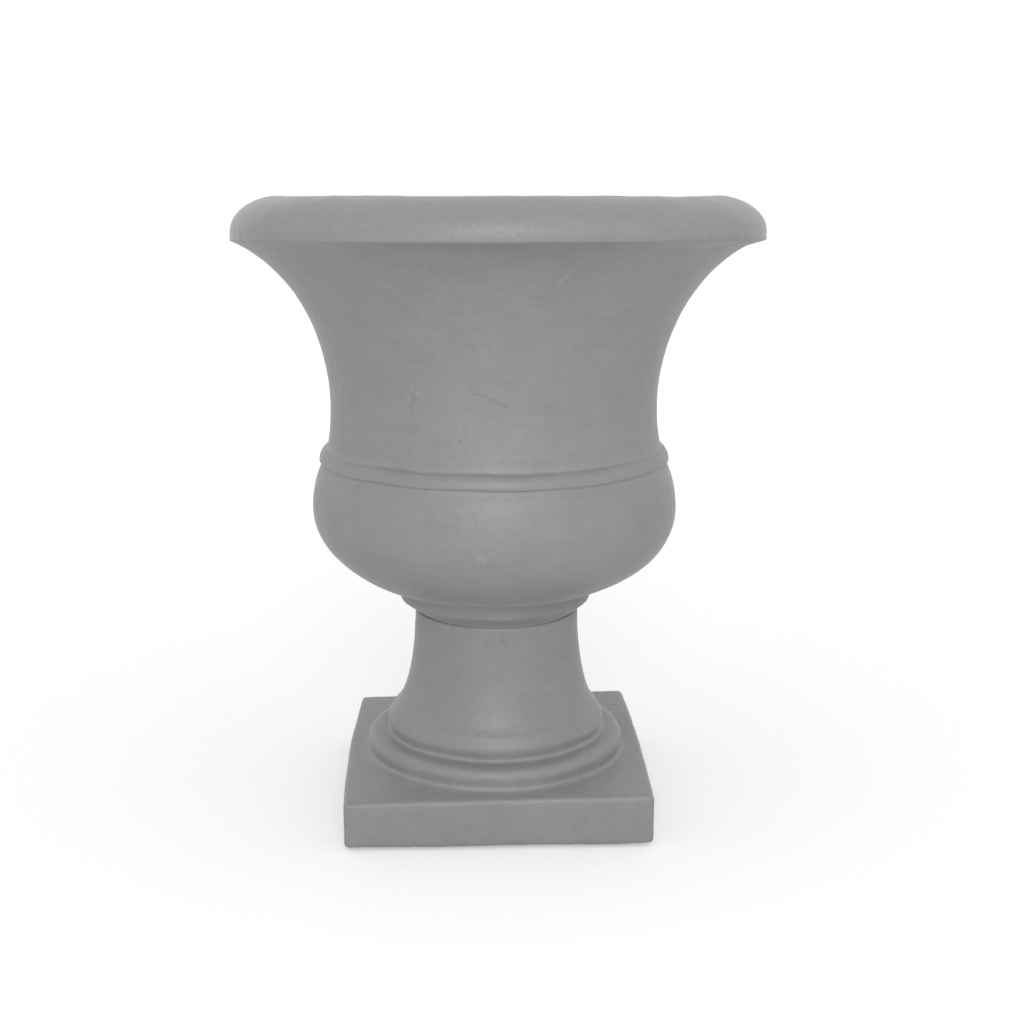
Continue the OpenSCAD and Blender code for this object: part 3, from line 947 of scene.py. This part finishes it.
# Pitted places on the castings, each with its middle and its reach.
ROUGH_PATCHES = (
    ((-0.0607, -0.1129, 0.339), 0.022),
    ((-0.031, -0.1238, 0.316), 0.020),
    ((-0.1061, 0.074, 0.041), 0.050),
    ((0.1104, 0.067, 0.041), 0.050),
    ((0.0044, -0.065, 0.149), 0.016),
    ((0.060, 0.119, 0.300), 0.060),
    ((-0.150, 0.110, 0.430), 0.060),
)
# Both ends of each scratch, on the bowl's face.
DARK_SCRATCHES = (
    ((-0.0111, -0.1293, 0.3475), (0.0051, -0.1286, 0.3386)),
    ((-0.0190, -0.1286, 0.3490), (-0.0150, -0.1290, 0.3482)),
    ((-0.0127, -0.1313, 0.2927), (-0.0043, -0.1331, 0.2915)),
)
PALE_SCRATCHES = (
    ((0.0395, -0.1606, 0.4293), (0.0486, -0.1660, 0.4368)),
    ((-0.0624, -0.1147, 0.3496), (-0.0582, -0.1166, 0.3477)),
    ((-0.0174, -0.1422, 0.2343), (-0.0131, -0.1421, 0.2321)),
)
DARK_WIDTH = 0.0016
PALE_WIDTH = 0.0036
# How far pits (darkened as painted shade), scratches, pale crease dust (partly painted light lifting the
# creases' shade) and edge wear (partly painted highlight) change the tone, and how deep pits and scratches
# look.
PIT_SHARE = 0.22
DARK_SHARE = 0.32
PALE_SHARE = 0.4
CREASE_DUST_AND_PAINTED_LIGHT_SHARES = (0.15, 0.5)
WEAR_AND_PAINTED_HIGHLIGHT_SHARE = 0.12
PIT_DEPTH = 0.0003
SCRATCH_DEPTH_SHARE = 0.6
STONE_ROUGHNESS = (0.41, 0.49)
STONE_SHEEN = 0.28
STONE_SHEEN_ROUGHNESS = 0.25


def stone(context):
    """Grey cast stone: soft mottling, fine grain, rough patches with pits darkened as painted shade,
    scratches, pale dust in creases that also paints light into their shade, and edges lightened by wear and
    painted highlights.
    """
    if "mottled_stone" in bpy.data.materials:
        return bpy.data.materials["mottled_stone"]
    finish = context.scene.urn_finishes
    material, tree, shader, place = new_material("mottled_stone")
    squashed = add(tree, "ShaderNodeMapping", {"Scale": STREAK_SCALE}, {"Vector": place})
    grains = {}
    for name, each in STONE_GRAINS.items():
        spread = squashed.outputs["Vector"] if name == "streaks" else place
        grains[name] = grain(tree, spread, each.size, each.detail, each.roughness)
    clouds = grains["clouds"]
    blotches = grains["blotches"]

    rough = highest(tree, [near_point(tree, place, centre, reach) for centre, reach in ROUGH_PATCHES])
    rough = highest(tree, [rough, between(tree, grains["broad"], 0.8, 1, 0, 0.5)])
    pits = combine(tree, "MULTIPLY", between(tree, blotches, 0.1, 0.4, 1, 0), rough)
    scratched = marks(tree, place, DARK_SCRATCHES, DARK_WIDTH, between(tree, blotches, 0.1, 0.5, 0.2, 1))
    scarred = marks(tree, place, PALE_SCRATCHES, PALE_WIDTH, between(tree, blotches, 0.2, 0.6, 0, 1))
    # dusty: how far the creases are lightened, partly pale dust and partly painted light against their
    # shade.
    dusty = between(tree, clouds, 0, 1, *CREASE_DUST_AND_PAINTED_LIGHT_SHARES)
    wear_and_painted_highlight = between(tree, clouds, 0.2, 1, 0, WEAR_AND_PAINTED_HIGHLIGHT_SHARE)

    share = weighed(tree, [(grains[name], each.share) for name, each in STONE_GRAINS.items()])
    tone = mixed(tree, share, finish.stone_dark, finish.stone_light)
    # Pits darkened towards the pit colour: painted shade inside the pits.
    tone = tinted(tree, tone, pits, PIT_SHARE, finish.stone_pit)
    # Creases lightened towards pale dust: partly real dust, partly painted light in their shade.
    tone = tinted(tree, tone, kept_share(tree, "crease"), dusty, finish.stone_dust_and_painted_light)
    # Edges lightened: partly wear, partly a painted highlight along the rounded edges.
    tone = tinted(tree, tone, kept_share(tree, "edge"), wear_and_painted_highlight, finish.stone_dust_and_painted_light)
    tone = tinted(tree, tone, scratched, DARK_SHARE, finish.stone_pit)
    tone = tinted(tree, tone, scarred, PALE_SHARE, finish.stone_dust_and_painted_light)
    tree.links.new(tone, shader.inputs["Base Color"])
    tree.links.new(between(tree, clouds, 0, 1, *STONE_ROUGHNESS), shader.inputs["Roughness"])
    shader.inputs["Sheen Weight"].default_value = STONE_SHEEN
    shader.inputs["Sheen Roughness"].default_value = STONE_SHEEN_ROUGHNESS

    normal = None
    for name, each in STONE_GRAINS.items():
        if each.depth > 0:
            normal = bumped(tree, grains[name], each.depth, normal)
    sunk = highest(tree, [pits, combine(tree, "MULTIPLY", scratched, SCRATCH_DEPTH_SHARE)])
    normal = bumped(tree, combine(tree, "MULTIPLY", sunk, -1), PIT_DEPTH, normal)
    tree.links.new(normal, shader.inputs["Normal"])
    return material


RUBBER_MOTTLE = 0.009
RUBBER_MOTTLE_DETAIL = 4
RUBBER_DUST_SHARE = 0.5
RUBBER_GRAIN = 0.0007
RUBBER_ROUGHNESS = (0.55, 0.75)
RUBBER_BUMP = 0.00004
FINE_DETAIL = 2


def rubber(context, name):
    """Moulded rubber, matte, with a little dust: black, or grey for the gasket, kept pale as painted light
    in the joint's shade.
    """
    if name in bpy.data.materials:
        return bpy.data.materials[name]
    finish = context.scene.urn_finishes
    plain = finish.rubber_grey_and_painted_light if name == "grey_rubber_and_painted_light" else finish.rubber_black
    dusty = finish.stone_light if name == "grey_rubber_and_painted_light" else finish.rubber_dust
    material, tree, shader, place = new_material(name)
    mottle = grain(tree, place, RUBBER_MOTTLE, RUBBER_MOTTLE_DETAIL)
    dust = between(tree, mottle, 0.45, 1, 0, RUBBER_DUST_SHARE)
    tree.links.new(mixed(tree, dust, plain, dusty), shader.inputs["Base Color"])
    fine = grain(tree, place, RUBBER_GRAIN, FINE_DETAIL)
    tree.links.new(between(tree, fine, 0, 1, *RUBBER_ROUGHNESS), shader.inputs["Roughness"])
    tree.links.new(bumped(tree, fine, RUBBER_BUMP), shader.inputs["Normal"])
    return material


STEEL_STRETCH = (0.08, 0.08, 1)
STEEL_RINGS = 0.0005
STEEL_DARK_SHARE = 0.6
STEEL_ROUGHNESS = (0.28, 0.42)
STEEL_BUMP = 0.00002


def steel(context):
    """Turned steel with fine rings round its length."""
    finish = context.scene.urn_finishes
    material, tree, shader, place = new_material("turned_steel")
    stretched = add(tree, "ShaderNodeMapping", {"Scale": STEEL_STRETCH}, {"Vector": place})
    rings = grain(tree, stretched.outputs["Vector"], STEEL_RINGS, FINE_DETAIL)
    dark = tuple(part * STEEL_DARK_SHARE for part in finish.steel)
    tree.links.new(mixed(tree, rings, dark, finish.steel), shader.inputs["Base Color"])
    tree.links.new(between(tree, rings, 0, 1, *STEEL_ROUGHNESS), shader.inputs["Roughness"])
    tree.links.new(bumped(tree, rings, STEEL_BUMP), shader.inputs["Normal"])
    shader.inputs["Metallic"].default_value = 1
    return material


# The floor lies just under the pads, and glows more from near the urn to far away.
FLOOR_Z = -0.0003
NEAR_FLOOR = 0.3
FAR_FLOOR = 2.5
NEAR_LIFT = 0.3
FAR_LIFT = 0.5
FLOOR_GRAIN = 0.03
FLOOR_ROUGHNESS = (0.75, 0.85)
SENSOR_WIDTH = 36


def white_world(scene):
    """White surroundings: plain white where they are seen, and softer where they only light things."""
    world = bpy.data.worlds.new("surroundings")
    world.use_nodes = True
    scene.world = world
    tree = world.node_tree
    path = add(tree, "ShaderNodeLightPath").outputs
    seen = highest(tree, [path["Is Camera Ray"], path["Is Glossy Ray"], path["Is Transmission Ray"]])
    background = tree.nodes["Background"]
    background.inputs["Color"].default_value = (1, 1, 1, 1)
    tree.links.new(between(tree, seen, 0, 1, scene.urn_stage.ambient, 1), background.inputs["Strength"])


def white_floor(scene):
    """A plain pale floor that keeps the urn's shadow and grows white away from it."""
    bm = bmesh.new()
    bmesh.ops.create_grid(bm, x_segments=1, y_segments=1, size=scene.urn_stage.ground_size / 2,
                          matrix=Matrix.Translation((0, 0, FLOOR_Z)))
    mesh = bpy.data.meshes.new("floor")
    bm.to_mesh(mesh)
    bm.free()
    floor = bpy.data.objects.new("floor", mesh)
    scene.collection.objects.link(floor)
    material, tree, shader, place = new_material("pale_floor")
    soft = between(tree, grain(tree, place, FLOOR_GRAIN, FINE_DETAIL), 0, 1, *FLOOR_ROUGHNESS)
    tree.links.new(soft, shader.inputs["Roughness"])
    shader.inputs["Base Color"].default_value = (*scene.urn_finishes.ground, 1)
    shader.inputs["Emission Color"].default_value = (1, 1, 1, 1)
    seen = add(tree, "ShaderNodeLightPath").outputs["Is Camera Ray"]
    away = add(tree, "ShaderNodeVectorMath", None, {0: place}, operation="LENGTH").outputs["Value"]
    lift = between(tree, away, NEAR_FLOOR, FAR_FLOOR, NEAR_LIFT, FAR_LIFT)
    tree.links.new(combine(tree, "MULTIPLY", seen, lift), shader.inputs["Emission Strength"])
    mesh.materials.append(material)


def front_softbox(scene):
    """A square area lamp in front of the urn that looks down at its middle."""
    setup = scene.urn_stage
    lamp = bpy.data.lights.new("front_softbox", "AREA")
    lamp.size = setup.key_size
    lamp.energy = setup.key_power
    holder = bpy.data.objects.new("front_softbox", lamp)
    scene.collection.objects.link(holder)
    way = Vector((0, -math.cos(setup.key_height), math.sin(setup.key_height)))
    holder.location = Vector((0, 0, BOWL_HIGH.z / 2)) + way * setup.key_distance
    holder.rotation_euler = way.to_track_quat("Z", "Y").to_euler()


def front_camera(scene):
    """The camera, a little above the rim and looking down a little."""
    setup = scene.urn_stage
    camera = bpy.data.cameras.new("camera")
    camera.sensor_width = SENSOR_WIDTH
    camera.lens = setup.lens * MM_PER_M
    holder = bpy.data.objects.new("camera", camera)
    scene.collection.objects.link(holder)
    heading = Matrix.Rotation(setup.camera_heading, 4, "Z")
    place = heading @ Vector((setup.camera_aside, -setup.camera_distance, setup.camera_height))
    pitch = Matrix.Rotation(RIGHT_ANGLE - setup.camera_pitch, 4, "X")
    holder.matrix_world = Matrix.Translation(place) @ heading @ pitch
    scene.camera = holder


class URN_OT_stage(bpy.types.Operator):
    """Set up the floor, the white surroundings, the softbox and the camera"""
    bl_idname = "urn.stage"
    bl_label = "Stage"

    def execute(self, context):
        scene = context.scene
        white_world(scene)
        white_floor(scene)
        front_softbox(scene)
        front_camera(scene)
        scene.view_settings.view_transform = "Standard"
        return {"FINISHED"}


class URN_PT_panel(bpy.types.Panel):
    """Lists the pieces of the urn"""
    bl_idname = "URN_PT_panel"
    bl_label = "Urn Planter"
    bl_space_type = "VIEW_3D"
    bl_region_type = "UI"
    bl_category = "Urn"

    def draw(self, context):
        for operator in OPERATORS:
            self.layout.operator(operator.bl_idname)


OPERATORS = (URN_OT_stage, URN_OT_bowl, URN_OT_pedestal, URN_OT_gasket, URN_OT_dowels, URN_OT_drain_plug,
             URN_OT_foot_pads)
CLASSES = (*GROUPS.values(), *OPERATORS, URN_PT_panel)


def register():
    """Registers the groups, operators and panel, and puts the groups on every scene."""
    for each in CLASSES:
        bpy.utils.register_class(each)
    for name, group in GROUPS.items():
        setattr(bpy.types.Scene, name, PointerProperty(type=group))


def unregister():
    """Takes back all that register did."""
    for name in GROUPS:
        delattr(bpy.types.Scene, name)
    for each in reversed(CLASSES):
        bpy.utils.unregister_class(each)


def main():
    """Builds the stage and every piece."""
    register()
    bpy.ops.urn.stage()
    bpy.ops.urn.bowl()
    bpy.ops.urn.pedestal()
    bpy.ops.urn.gasket()
    bpy.ops.urn.dowels()
    bpy.ops.urn.drain_plug()
    bpy.ops.urn.foot_pads()


if __name__ == "__main__":
    main()
